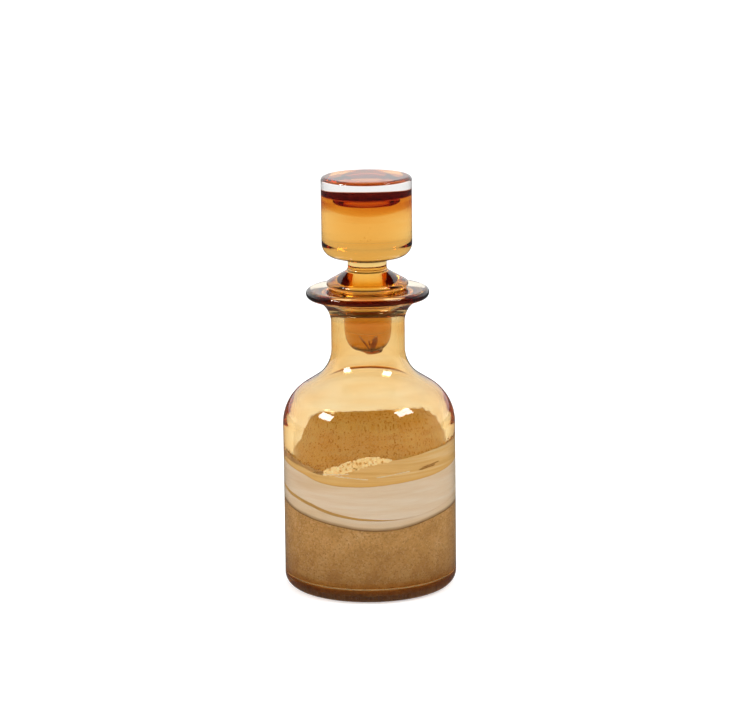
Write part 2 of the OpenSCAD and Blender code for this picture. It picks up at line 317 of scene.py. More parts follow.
@dataclass(frozen=True)
class TrailedGlass(Finish):
    """Opaque glass wound on as a soft trail: streaks run along it, and its lower edge is darker.

    The streaks follow the trail's own slope, and the edge the distance up it in its map, in metres.
    """

    base: str = "#f5dfc0"
    pale: str = "#fbecd6"
    dark: str = "#eed2aa"
    edge: str = "#8a5f2c"
    edge_mm: float = 2.4
    low: str = "#ecd0a4"
    low_mm: float = 6.0
    streak_mm: float = 5.0
    length_mm: float = 60.0
    dip_mm: float = 8.0
    turn_deg: float = 8.0
    see_through: float = 0.04
    radius_mm: float = 50.0
    height_mm: float = 0.04
    fine_per_m: float = 600.0

    def shade(self, tree: Tree, place: Socket) -> None:
        """Fills the tree.

        Args:
            tree: the material's node tree.
            place: a point's place on the object, in metres.
        """
        lean = math.atan(self.dip_mm / self.radius_mm)
        turn = math.radians(self.turn_deg)
        along = self.streak_mm / self.length_mm
        flat = add(tree, "Mapping", {"Vector": place, "Scale": (along, along, 1.0),
                                     "Rotation": (lean * math.cos(turn), lean * math.sin(turn), 0.0)})
        streak = add(tree, "TexNoise", {"Vector": flat, "Scale": scale(self.streak_mm), "Detail": 4.0,
                                        "Roughness": 0.6})
        tone = add(tree, "ValToRGB", {"Fac": streak},
                   stops=[(0.3, self.dark), (0.5, self.base), (0.72, self.pale)])
        across = add(tree, "SeparateXYZ", {"Vector": add(tree, "UVMap", uv_map="band")}).outputs["Y"]
        near = add(tree, "MapRange", {"Value": across, "From Max": self.edge_mm * MM, **FADE})
        down = add(tree, "MapRange", {"Value": across, "From Max": self.low_mm * MM, **FADE},
                   interpolation_type="SMOOTHSTEP")
        lower = add(tree, "Mix", {"Factor": down, "A": tone, "B": self.low}, data_type="RGBA")
        edged = add(tree, "Mix", {"Factor": near, "A": lower, "B": self.edge}, data_type="RGBA")
        fine = add(tree, "TexNoise", {"Vector": place, "Scale": self.fine_per_m, "Detail": 2.0})
        rough = add(tree, "MapRange", {"Value": fine, "To Min": 0.25, "To Max": 0.6})
        bump = add(tree, "Bump", {"Strength": 0.6, "Distance": self.height_mm * MM, "Height": streak})
        solid = add(tree, "BsdfPrincipled", {
            "Base Color": edged, "Roughness": rough, "Specular IOR Level": 0.1, "Normal": bump})
        through = add(tree, "BsdfTranslucent", {"Color": edged})
        both = add(tree, "MixShader", {"Fac": self.see_through, 1: solid, 2: through})
        add(tree, "OutputMaterial", {"Surface": both})


@dataclass(frozen=True)
class StageWhite(Finish):
    """Painted studio floor, matt: it takes the soft shadow and shows as white to eye and glass.

    Gloss sees less of it, as in a studio whose floor is lit only round the object.
    """

    base: str = "#dcdcdc"
    own_light: float = 0.4
    through_light: float = 0.16
    gloss_light: float = 0.12
    dark_m: float = -1.2
    front_m: float = -0.75

    def shade(self, tree: Tree, place: Socket) -> None:
        """Fills the tree.

        Args:
            tree: the material's node tree.
            place: a point's place on the object, in metres.
        """
        matt = add(tree, "BsdfDiffuse", {"Color": self.base})
        front = add(tree, "SeparateXYZ", {"Vector": place}).outputs["Y"]
        lit = add(tree, "MapRange", {"Value": front, "From Min": self.dark_m, "From Max": self.front_m})
        through = add(tree, "Math", {0: eye_rays(tree), 1: self.through_light}, operation="MULTIPLY")
        near = add(tree, "Math", {0: through, 1: lit}, operation="MULTIPLY")
        camera = add(tree, "LightPath").outputs["Is Camera Ray"]
        straight = add(tree, "Math", {0: camera, 1: self.own_light}, operation="MULTIPLY")
        power = add(tree, "Math", {0: straight, 1: near}, operation="MAXIMUM")
        lift = add(tree, "Emission", {"Color": "#ffffff", "Strength": power})
        both = add(tree, "AddShader", {0: matt, 1: lift})
        dim = add(tree, "Emission", {"Color": "#ffffff", "Strength": self.gloss_light})
        shown = add(tree, "MixShader", {"Fac": mirror_rays(tree), 1: both, 2: dim})
        add(tree, "OutputMaterial", {"Surface": shown})


# Mesh helpers


def arc(centre: Point, radius: float | Point, start: float, end: float, steps: int = 16) -> Outline:
    """Gives points along an arc, both ends included.

    Args:
        centre: its centre.
        radius: its radius, or an oval's two, across and up.
        start: the angle of its first point, in degrees.
        end: the angle of its last point.
        steps: how many steps it has.

    Returns:
        The points in order.
    """
    wide, high = radius if isinstance(radius, tuple) else (radius, radius)
    angles = [math.radians(start + (end - start) * i / steps) for i in range(steps + 1)]
    return [(centre[0] + wide * math.cos(a), centre[1] + high * math.sin(a)) for a in angles]


def finely(outline: Outline) -> Outline:
    """Splits long straight stretches, so that smooth shading stays true beside curves.

    Args:
        outline: the points, in millimetres.

    Returns:
        The outline with its new points.
    """
    longest, margin, none = 4.0, 0.5, 1e-6
    done = [outline[0]]
    for start, end in zip(outline, outline[1:]):
        length = math.dist(start, end)
        if length > longest:
            count = math.ceil(length / longest)
            for share in (margin / length, *[i / count for i in range(1, count)], 1 - margin / length):
                done.append((start[0] + (end[0] - start[0]) * share, start[1] + (end[1] - start[1]) * share))
        if length > none:
            done.append(end)
    return done


def lathe(name: str, outline: Outline, ring: bool = False, steps: int = STEPS) -> Mesh:
    """Turns an outline round Z into a closed mesh, as on a lathe.

    Args:
        name: the new object's name.
        outline: radius and height of each point, in millimetres, in order.
        ring: True if the last point joins the first, and False if both lie on the axis.
        steps: how many steps go round.

    Returns:
        The object, at the origin, with its place in its mesh.
    """
    bpy.ops.object.select_all(action="DESELECT")
    bpy.ops.mesh.primitive_plane_add(size=MM)
    turned = bpy.context.active_object
    turned.name = turned.data.name = name
    bpy.ops.object.mode_set(mode="EDIT")
    bpy.ops.mesh.select_all(action="SELECT")
    bpy.ops.mesh.merge(type="CENTER")
    bpy.ops.transform.translate(value=(outline[0][0] * MM, 0, outline[0][1] * MM))
    for start, end in zip(outline, outline[1:]):
        step = ((end[0] - start[0]) * MM, 0, (end[1] - start[1]) * MM)
        bpy.ops.mesh.extrude_vertices_move(TRANSFORM_OT_translate={"value": step})
    if ring:
        bpy.ops.mesh.select_all(action="DESELECT")
        bpy.ops.object.mode_set(mode="OBJECT")
        for end in (0, len(outline) - 1):
            turned.data.vertices[end].select = True
        bpy.ops.object.mode_set(mode="EDIT")
        bpy.ops.mesh.edge_face_add()
    bpy.ops.object.mode_set(mode="OBJECT")
    turn = turned.modifiers.new("turn", "SCREW")
    turn.steps = turn.render_steps = steps
    bpy.ops.object.modifier_apply(modifier=turn.name)
    bpy.ops.object.mode_set(mode="EDIT")
    bpy.ops.mesh.select_all(action="SELECT")
    bpy.ops.mesh.remove_doubles(threshold=0.002 * MM)
    bpy.ops.mesh.normals_make_consistent(inside=False)
    bpy.ops.object.mode_set(mode="OBJECT")
    return turned


def ball(subdivisions: int, place: Matrix) -> Mesh:
    """Adds an ico sphere of one millimetre's radius.

    Args:
        subdivisions: how fine it is.
        place: the matrix that shapes and places it, in its mesh.

    Returns:
        The object, at the origin.
    """
    bpy.ops.object.select_all(action="DESELECT")
    bpy.ops.mesh.primitive_ico_sphere_add(subdivisions=subdivisions, radius=MM)
    made = bpy.context.active_object
    made.data.transform(place)
    return made


def smooth(obj: Mesh) -> Mesh:
    """Shades an object smooth, apart from its real edges.

    Args:
        obj: the object.

    Returns:
        The same object.
    """
    bpy.ops.object.select_all(action="DESELECT")
    obj.select_set(True)
    bpy.context.view_layer.objects.active = obj
    bpy.ops.object.shade_smooth_by_angle(angle=SMOOTH_ANGLE)
    return obj


def points_of(obj: Mesh) -> np.ndarray:
    """Reads an object's vertices.

    Args:
        obj: the object.

    Returns:
        Rows of X, Y and Z in millimetres.
    """
    flat = np.empty(len(obj.data.vertices) * 3, np.float32)
    obj.data.vertices.foreach_get("co", flat)
    return flat.reshape(-1, 3).astype(float) / MM


def set_points(obj: Mesh, points: np.ndarray) -> None:
    """Moves an object's vertices to rows of X, Y and Z in millimetres."""
    obj.data.vertices.foreach_set("co", (points * MM).astype(np.float32).ravel())
    obj.data.update()


def joined(parts: Sequence[Mesh], name: str) -> Mesh:
    """Joins several meshes into one object.

    Args:
        parts: the objects.
        name: the new name.

    Returns:
        The first object, with all the meshes in it.
    """
    bpy.ops.object.select_all(action="DESELECT")
    for part in parts:
        part.select_set(True)
    bpy.context.view_layer.objects.active = parts[0]
    bpy.ops.object.join()
    parts[0].name = parts[0].data.name = name
    return parts[0]


def at_mm(x: float, y: float, z: float) -> Matrix:
    """Gives the matrix that moves a mesh by so many millimetres."""
    return Matrix.Translation((x * MM, y * MM, z * MM))


def angles_of(points: np.ndarray) -> np.ndarray:
    """Gives each point's angle round the bottle, from the front towards the right, in degrees."""
    return np.degrees(np.arctan2(points[:, 0], -points[:, 1]))


@dataclass(frozen=True)
class Edge:
    """The uneven edge of a colour in the wall: a curve through points, with a ragged line on it.

    Each point is an angle from the front towards the right, in degrees, and a height in millimetres.
    """

    points: tuple[Point, ...]
    ragged: float = 0.0
    bite: float = 14.0
    seed: float = 0.0
    lift: float = 0.0

    def heights(self, angles: np.ndarray) -> np.ndarray:
        """Works out the edge's height.

        Args:
            angles: the angles round the bottle.

        Returns:
            The height at each angle.
        """
        places = np.array([a for a, _ in self.points])
        levels = np.tile(np.array([z for _, z in self.points]), 3)
        places = np.concatenate([places - 360, places, places + 360])
        slopes = np.gradient(levels, places)
        at = np.clip(np.searchsorted(places, angles, side="right") - 1, 0, len(places) - 2)
        gap = places[at + 1] - places[at]
        t = (angles - places[at]) / gap
        curve = (levels[at] * (1 + 2 * t) * (1 - t) ** 2 + levels[at + 1] * t**2 * (3 - 2 * t)
                 + gap * (slopes[at] * t * (1 - t) ** 2 - slopes[at + 1] * t**2 * (1 - t)))
        around = np.arange(-180.0, 180.25, 0.5)
        waves = ((1.0, 1.0), (0.6, 2.7), (0.3, 7.0))
        off = []
        for a in np.radians(around):
            spot = Vector((math.cos(a) * self.bite, math.sin(a) * self.bite, self.seed))
            off.append(sum(height * noise.noise(spot * finer) for height, finer in waves))
        return curve + self.lift + self.ragged * np.interp(angles, around, off)


class Body(Enum):
    """The two loose parts of the object, under the names that the pack gives their bodies."""

    BOTTLE = "bottle"
    STOPPER = "stopper"


class SubAssembly:
    """A part of the object whose pieces all ride on one body."""

    body: Body

    def dress(self, obj: Mesh, finish: Finish, slot: str, *nodes: str) -> Mesh:
        """Dresses a finished mesh and sets it on the body.

        Args:
            obj: the mesh.
            finish: its finish.
            slot: not used.
            nodes: the nodes that it replaces.

        Returns:
            The same object.
        """
        obj.data.materials.clear()
        obj.data.materials.append(finish.build())
        if nodes:
            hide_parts(*nodes)
        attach(obj, self.body.value)
        log.info("%s: %d faces, on %s", obj.name, len(obj.data.polygons), self.body.value)
        return obj


# The bottle


@dataclass
class Bottle(SubAssembly):
    """The bottle's glass and its lining. Sizes are in millimetres, and the outer ones are the solids'.

    The wall thins from the shoulder (thinning: height above it, wall) to the bend under the neck
    (bends: depth below it), which keeps dark reflections out of it. The amber is as deep as gathers
    says, at the same heights. Waves are each a count round, a height of one wave and a phase.
    """

    body = Body.BOTTLE
    body_r: float = 50.0
    shoulder_z: float = 96.0
    shoulder_r: float = 27.0
    shoulder_slope: float = 57.5
    heel_r: float = 7.5
    wall: float = 5.5
    thinning: tuple[Point, ...] = ((8.0, 4.9), (17.0, 3.7))
    bends: Point = (16.0, 4.0)
    bend_wall: float = 3.2
    base: float = 6.4
    floor_corner: float = 4.5
    hollow_r: float = 15.0
    hollow_h: float = 1.2
    neck_r: float = 21.3
    neck_len: float = 15.0
    neck_fillet: float = 20.0
    neck_wall: float = 4.3
    flare_h: float = 14.5
    flare_turn: float = 80.0
    lip_r: float = 35.5
    lip_t: float = 5.4
    mouth_round: float = 3.5
    mouth_h: float = 12.0
    gathers: tuple[float, ...] = (1.5, 1.5, 1.6, 1.7, 2.0, 2.3)
    gather_base: float = 1.6
    skin: float = 0.05
    lip_gather: float = 1.0
    bead: float = 1.7
    bead_flat: float = 0.36
    bead_out: float = 1.75
    wave: float = 0.004
    waves: tuple[tuple[int, float, float], ...] = ((2, 31.0, 0.6), (3, -23.0, 2.1))
    side_steps: int = 22
    flare_steps: int = 24

    def __post_init__(self) -> None:
        """Works out the heights that follow from the sizes."""
        slope = math.radians(self.shoulder_slope)
        low_r = self.body_r - self.shoulder_r * (1 - math.cos(slope))
        high_r = self.neck_r + self.neck_fillet * (1 - math.cos(slope))
        length = (low_r - high_r) / math.sin(slope)
        self.neck_z = (self.shoulder_z + (self.shoulder_r + self.neck_fillet) * math.sin(slope)
                       + length * math.cos(slope))
        self.neck_top = self.neck_z + self.neck_len
        self.lip_z = self.neck_top + self.flare_h
        self.lip_top = self.lip_z + self.lip_t
        self.bore = self.neck_r - self.neck_wall
        self.rim_at = (self.lip_r - self.lip_t / 2, self.lip_z + self.lip_t / 2)
        self.walls = [(self.shoulder_z, self.wall),
                      *[(self.shoulder_z + up, wall) for up, wall in self.thinning],
                      *[(self.neck_z - down, self.bend_wall) for down in self.bends],
                      (self.neck_top, self.neck_wall)]

    def side(self, walls: Outline) -> Outline:
        """Gives the shoulder and the neck, set in by an amount that changes with height.

        Args:
            walls: heights, from low to high, and how far in the side is at each.

        Returns:
            The outline from the top of the body to the top of the neck.
        """
        heights, insets = zip(*walls)
        slope = self.shoulder_slope
        shoulder = ((self.body_r - self.shoulder_r, self.shoulder_z), self.shoulder_r, -1.0, 0.0, slope)
        neck = ((self.neck_r + self.neck_fillet, self.neck_z), self.neck_fillet, 1.0, 180 + slope, 180.0)
        points = []
        for centre, radius, way, start, end in (shoulder, neck):
            for i in range(self.side_steps + 1):
                a = math.radians(start + (end - start) * i / self.side_steps)
                inset = float(np.interp(centre[1] + radius * math.sin(a), heights, insets))
                reach = radius + way * inset
                points.append((centre[0] + reach * math.cos(a), centre[1] + reach * math.sin(a)))
        return [*points, (self.neck_r - insets[-1], self.neck_top)]

    def foot(self) -> Outline:
        """Draws the ground hollow under the foot, and the heel.

        Returns:
            The outline from the axis out to the body's side.
        """
        dome = (self.hollow_r**2 + self.hollow_h**2) / (2 * self.hollow_h)
        rings = [self.hollow_r * i / 8 for i in range(8)]
        hollow = [(x, self.hollow_h - dome + math.sqrt(dome**2 - x**2)) for x in rings]
        return [*hollow, (self.hollow_r, 0.0), *self.corner(self.body_r, 0.0, self.heel_r)]

    def corner(self, radius: float, floor_z: float, corner: float) -> Outline:
        """Gives the round corner from a floor up to a wall of that radius."""
        return arc((radius - corner, floor_z + corner), corner, -90, 0)

    def cup(self, radius: float, floor_z: float, corner: float) -> Outline:
        """Gives a cup's floor and the corner up to its wall."""
        return [(0.0, floor_z), *self.corner(radius, floor_z, corner)]

    def flare(self) -> Outline:
        """Draws the flare under the lip.

        Returns:
            The outline from just above the neck's top to the lip's underside.
        """
        reach = self.rim_at[0] - self.neck_r
        turn = math.radians(self.flare_turn)
        turns = [turn * i / self.flare_steps for i in range(1, self.flare_steps + 1)]
        return [(self.neck_r + reach * (1 - math.cos(t)) / (1 - math.cos(turn)),
                 self.neck_top + self.flare_h * math.sin(t) / math.sin(turn)) for t in turns]

    def mouth(self, inset: float, steps: int) -> Outline:
        """Gives the bore's long turn out to the lip's top, from the top down, set in by an amount."""
        wide, high = self.mouth_round, self.mouth_h
        return arc((self.bore + wide, self.lip_top - high), (wide - inset, high - inset), 90, 180, steps)

    def inside(self, skin: float) -> Outline:
        """Gives the inner face, from the lip's top down to the floor's middle, let in by a skin."""
        return [*self.mouth(skin, 18), *reversed(self.side([(z, inset - skin) for z, inset in self.walls])),
                *reversed(self.cup(self.body_r - self.wall + skin, self.base - skin, self.floor_corner))]

    def blown(self, obj: Mesh) -> Mesh:
        """Gives a mesh the slight unevenness of hand work, always inwards and alike in all of them.

        Args:
            obj: one of the bottle's meshes.

        Returns:
            The same object.
        """
        points = points_of(obj)
        angle = np.arctan2(points[:, 0], -points[:, 1])
        share = 0.5 / len(self.waves)
        uneven = 0.5 + sum(share * np.sin(count * angle + points[:, 2] / length + phase)
                           for count, length, phase in self.waves)
        points[:, :2] *= (1 - self.wave * uneven)[:, None]
        set_points(obj, points)
        return obj

    def build(self) -> list[Mesh]:
        """Builds the glass with its lip, the amber lining inside it and the amber bead in the rim.

        Returns:
            The finished pieces.
        """
        glass = lathe("bottle_glass", finely([
            *self.foot(), *self.side([(0.0, 0.0)]), *self.flare(),
            *arc(self.rim_at, self.lip_t / 2, -90, 90, 20), *self.inside(0.0)]))
        gather = self.gathers[0]
        casing = [(z, inset - depth) for (z, inset), depth in zip(self.walls, self.gathers)]
        lining = lathe("amber_lining", finely([
            *self.cup(self.body_r - self.wall + gather, self.base - self.gather_base,
                      self.floor_corner + gather),
            *self.side(casing), *reversed(self.mouth(self.lip_gather, 14)),
            *arc(self.rim_at, self.lip_t / 2 - self.skin, 44, 90, 6), *self.inside(self.skin)]))
        bead = lathe("rim_bead", arc((self.rim_at[0] + self.bead_out, self.rim_at[1]),
                                     (self.bead_flat * self.bead, self.bead), 0, 360, 24)[:-1], ring=True)
        for obj in (glass, lining, bead):
            smooth(self.blown(obj))
        return [
            self.dress(glass, ClearGlass("soda_lime_glass_blown"), "clear_glass", "clear_casing", "lip"),
            self.dress(lining, TintedGlass("amber_glass_lining_blown", "#f5cf88", 5.0),
                       "amber_glass", "amber_gather"),
            self.dress(bead, TintedGlass("amber_glass_rim_pooled", "#6b2c0a", 1.0), "amber_glass")]


@dataclass
class WallColours(SubAssembly):
    """The colours trapped in the bottle's wall. Sizes are in millimetres.

    A pair of radii is inner and outer. A band is at its thinnest share at its edge, and full some
    way in (band_edge). Edges and lines go from the back's left round the front to its right.
    """

    body = Body.BOTTLE
    bottle: Bottle
    sand_in: float = 46.05
    sand_out: float = 46.85
    band_radii: Point = (46.9, 47.5)
    thread_radii: Point = (47.55, 47.9)
    streak_radii: Point = (47.6, 47.7)
    band_edge: Point = (0.25, 0.8)
    sand_floor: float = 3.95
    sand_corner: float = 12.0
    sand_rise: Point = (30.0, 80.0)
    grain_thick: float = 0.28
    grain_cut: float = 0.25
    grain_wide: Point = (0.8, 1.4)
    grain_high: Point = (0.7, 1.1)
    gold_tall: float = 5.6
    touch: float = 0.03
    rows: int = 14
    round: int = 360
    sand_edge: Edge = Edge(
        ((-153, 88.8), (-136, 89.6), (-125, 87.0), (-109, 81.5), (-90, 81.5), (-68, 81.0), (-53, 78.5),
         (-35, 76.5), (-20, 75.0), (0, 74.5), (20, 79.0), (44, 85.0), (79, 88.5), (98, 89.3), (115, 90.6),
         (133, 91.9), (158, 92.0), (180, 90.5)), 0.8, 14.0, 1.0)
    white_low: Edge = Edge(
        ((-150, 54.5), (-110, 53.5), (-74, 51.3), (-56, 49.1), (-37, 46.9), (-21, 45.1), (-1, 43.1),
         (20, 43.4), (36, 45.3), (55, 47.6), (90, 50.0), (140, 54.0), (180, 55.5)), 0.15, 5.0, 2.0)
    white_top: Edge = Edge(
        ((-150, 78.5), (-110, 77.5), (-74, 75.3), (-51, 72.8), (-36, 69.9), (-22, 69.0), (-6, 69.1),
         (9, 69.8), (26, 70.9), (45, 71.9), (76, 74.3), (110, 77.0), (145, 79.0), (180, 79.5)),
        0.15, 5.0, 3.0)
    ochre_top: Edge = Edge(
        ((-150, 82.0), (-110, 80.0), (-74, 78.2), (-51, 76.9), (-40, 74.7), (-24, 75.6), (-12, 78.4),
         (2, 82.3), (14, 83.9), (30, 85.2), (45, 86.6), (76, 87.4), (110, 87.0), (145, 84.5), (180, 83.0)),
        0.2, 7.0, 4.0)
    thread: Edge = Edge(
        ((-150, 66.0), (-110, 63.0), (-76, 59.3), (-45, 55.1), (-21, 51.0), (0, 49.4), (20, 49.2), (60, 53.0),
         (110, 61.0), (150, 66.5), (180, 67.0)), 0.15, 5.0, 5.0)
    thread_top: Edge = Edge(
        ((-150, 67.4), (-110, 64.6), (-76, 61.1), (-45, 56.9), (-21, 52.5), (0, 50.4), (20, 49.4), (60, 53.0),
         (110, 61.0), (150, 66.7), (180, 68.0)), 0.15, 5.0, 5.0)
    # Painted highlights: the pale lines along the ochre trail, as angles and heights.
    painted_highlight_lines: tuple[tuple[Point, ...], ...] = (
        ((-24, 75.0), (-10, 74.2), (-1, 73.7)), ((5, 74.7), (21, 76.6), (28, 77.0)),
        ((-33, 75.2), (-14, 76.6)))
    dark_lines: tuple[tuple[Point, ...], ...] = (
        ((38, 78.0), (54, 79.2)), ((36, 77.0), (50, 78.0)), ((-41, 75.6), (-33, 76.6)))

    def band(self, name: str, radii: Point, low: Edge, high: Edge) -> Mesh:
        """Builds a band in the wall between two edges, and thin at both.

        Args:
            name: the object's name.
            radii: the band's inner and outer radius.
            low: its lower edge.
            high: its upper edge.

        Returns:
            The closed band. Its map holds the distance round it, and up from its lower edge, in metres.
        """
        inner, outer = radii
        least, full_at = self.band_edge
        tall, gap = 10.0, 0.05
        rise = [tall * i / self.rows for i in range(self.rows + 1)]
        outline = [*[(outer, z) for z in rise], *[(inner, z) for z in reversed(rise)]]
        obj = lathe(name, outline, ring=True, steps=self.round)
        points = points_of(obj)
        angles = angles_of(points)
        share = points[:, 2] / tall
        bottom = low.heights(angles)
        height = np.maximum(high.heights(angles) - bottom, gap)
        radius = np.hypot(points[:, 0], points[:, 1])
        near = np.minimum(share, 1 - share) * height
        middle = (inner + outer) / 2
        thick = np.minimum(1.0, least + near / full_at)
        points[:, :2] *= (middle / radius + (1 - middle / radius) * thick)[:, None]
        points[:, 2] = bottom + share * height
        set_points(obj, points)
        flat = np.stack([np.radians(angles) * inner, share * height], 1) * MM
        loops = np.empty(len(obj.data.loops), np.int32)
        obj.data.loops.foreach_get("vertex_index", loops)
        layer = obj.data.uv_layers.new(name="band")
        layer.data.foreach_set("uv", flat[loops].astype(np.float32).ravel())
        return smooth(self.bottle.blown(obj))

    def sand(self, name: str, outer: float, inner: float) -> Mesh:
        """Builds a cup of sand coloured grains, with its ragged top edge.

        Args:
            name: the object's name.
            outer: how far its outer face is in from the whole layer's outer face.
            inner: how far its inner face is in from the same.

        Returns:
            The closed cup.
        """
        corner = self.sand_corner + self.sand_out - self.sand_in
        low, high = self.sand_rise
        rise = [low + (high - low) * i / 12 for i in range(13)]
        face = {inset: [*self.bottle.cup(self.sand_out - inset, self.sand_floor + inset, corner - inset),
                        *[(self.sand_out - inset, z) for z in rise]] for inset in (outer, inner)}
        obj = lathe(name, [*face[outer], *reversed(face[inner])], steps=self.round)
        points = points_of(obj)
        share = np.clip((points[:, 2] - low) / (high - low), 0, 1)
        points[:, 2] += share * (self.sand_edge.heights(angles_of(points)) - high)
        set_points(obj, points)
        return smooth(self.bottle.blown(obj))

    def grains(self, name: str, sizes: Point, radii: Point, places: np.ndarray, seed: int) -> Mesh:
        """Scatters small grains in the wall.

        Args:
            name: the object's name.
            sizes: the smallest and the largest grain's radius.
            radii: the least and the most distance of a grain from the axis.
            places: an angle and a height for each grain.
            seed: where the random numbers start.

        Returns:
            All the grains, as one object.
        """
        draw = random.Random(seed)
        first = ball(1, Matrix.Identity(4))
        bpy.ops.object.mode_set(mode="EDIT")
        bpy.ops.mesh.select_all(action="SELECT")
        bpy.ops.mesh.bevel(offset=self.grain_cut * MM, segments=1, affect="VERTICES")
        bpy.ops.object.mode_set(mode="OBJECT")
        made = []
        for angle, height in places:
            grain = first.copy()
            grain.data = first.data.copy()
            bpy.context.scene.collection.objects.link(grain)
            size = draw.uniform(*sizes)
            turn = Matrix.Rotation(math.radians(angle), 4, "Z") @ at_mm(0, -draw.uniform(*radii), height)
            thick = min(size, self.grain_thick)
            wide, high = size * draw.uniform(*self.grain_wide), size * draw.uniform(*self.grain_high)
            shape = Matrix.Diagonal((wide, thick, high, 1))
            grain.data.transform(turn @ shape @ Matrix.Rotation(draw.uniform(0, math.tau), 4, "Y"))
            made.append(grain)
        bpy.data.objects.remove(first)
        return self.bottle.blown(joined(made, name))

    def along(self, lines: tuple[tuple[Point, ...], ...]) -> np.ndarray:
        """Gives close places along lines, a little off each line.

        Args:
            lines: each line's points, as angles and heights.

        Returns:
            An angle and a height for each place.
        """
        every, uneven = 0.5, 0.1
        draw = np.random.default_rng(3)
        places = []
        for line in lines:
            ends, heights = zip(*line)
            angles = np.arange(ends[0], ends[-1], every)
            off = draw.normal(0, uneven, angles.size)
            places.append(np.stack([angles, np.interp(angles, ends, heights) + off], 1))
        return np.concatenate(places)

    def loose_sand(self, count: int, seed: int) -> np.ndarray:
        """Gives places just above the sand's edge, the thinner the higher.

        Args:
            count: how many.
            seed: where the random numbers start.

        Returns:
            An angle and a height for each place.
        """
        spread, sunk = 0.9, 0.2
        draw = np.random.default_rng(seed)
        angles = draw.uniform(-180, 180, count)
        above = np.abs(draw.normal(0, spread, count)) - sunk
        return np.stack([angles, self.sand_edge.heights(angles) + above], 1)

    def gold_places(self, count: int, seed: int) -> np.ndarray:
        """Gives places in the gold patch: a leaf shape at the front that rests on the ochre trail.

        Args:
            count: how many.
            seed: where the random numbers start.

        Returns:
            An angle and a height for each place.
        """
        start, span, sunk, least = -33.0, 48.0, 0.3, 0.5
        draw = np.random.default_rng(seed)
        share = draw.beta(1.1, 1.4, count)
        angles = start + span * share
        low = self.ochre_top.heights(angles) - sunk
        leaf = np.sin(math.pi * np.minimum(1.0, 0.12 + share * 0.88)) ** 0.8
        return np.stack([angles, low + (least + self.gold_tall * leaf) * draw.uniform(0, 1, count)], 1)

    def build(self) -> list[Mesh]:
        """Builds every colour in the wall.

        Returns:
            The finished pieces.
        """
        no_painted_shade, frit, ochre = "#ffffff", "sand_frit", "ochre_glass"
        return [
            # The sand cup takes the painted shade towards the bottom; the other grains take none.
            self.dress(
                self.sand("sand_cup", 0.0, 0.4),
                GrainedGlass("sand_frit_fused", see_through=0.28), frit, "sand_layer"),
            # Painted backlight: the sand's inner face is paler and glows, for light that comes through the
            # grains from behind.
            self.dress(
                self.sand("sand_inner_face_painted_backlight", 0.45, 0.8),
                GrainedGlass("sand_frit_inner_face_painted_backlight", "#f8f0b2", "#ecd68a", "#fbfacf", "#d5b56b",
                             see_through=0.04, low_shade_tone=no_painted_shade, lit=0.19), frit),
            self.dress(
                self.grains("sand_grains", (0.18, 0.5), (46.3, 46.7), self.loose_sand(420, 11), 11),
                GrainedGlass("sand_frit_grains", see_through=0.5), frit),
            self.dress(
                self.band("opal_band", self.band_radii, self.white_low, self.white_top),
                TrailedGlass("white_opal_glass_trailed"), "white_glass", "white_band"),
            self.dress(
                self.band("ochre_trail", self.band_radii, replace(self.white_top, lift=self.touch),
                          self.ochre_top),
                TrailedGlass("ochre_glass_trailed", "#f4c97f", "#fbdfa6", "#e3ae5e", "#dba352", 0.5,
                             "#f0bf6e", 4.0, 2.2, 70.0, 6.0, -12.0), ochre, "ochre_swirl"),
            self.dress(
                self.band("wound_thread", self.thread_radii, self.thread, self.thread_top),
                TrailedGlass("amber_glass_thread", "#e8bd72", "#efcb86", "#d6a85a", "#c9984c", 0.3,
                             "#e8bd72", see_through=0.3), "thread_glass", "amber_thread"),
            # The gold grains carry a small painted glow.
            self.dress(
                self.grains("gold_grains", (0.35, 0.85), (47.0, 47.3), self.gold_places(560, 5), 5),
                GrainedGlass("gold_frit_fused_painted_glow", "#ffe2a0", "#f8d088", "#fff2c4", "#e0ae60", 6.0, 1.2, 0.03,
                             low_shade_tone=no_painted_shade, lit=0.12), "gold_frit", "gold_frit"),
            # Painted highlights: pale grains along the ochre trail.
            self.dress(
                self.grains("painted_highlight_streaks", (0.22, 0.42), self.streak_radii, self.along(self.painted_highlight_lines), 7),
                GrainedGlass("ochre_glass_painted_highlight_streaks", "#fff2cf", "#fde4ad", "#fffbea", "#f7d997",
                             see_through=0.03, low_shade_tone=no_painted_shade), ochre),
            self.dress(
                self.grains("dark_streaks", (0.22, 0.4), self.streak_radii, self.along(self.dark_lines), 8),
                GrainedGlass("dark_ochre_glass_streaks", "#c58a3e", "#b57a32", "#d39c50", "#a06a28",
                             low_shade_tone=no_painted_shade), ochre)]


# The stopper


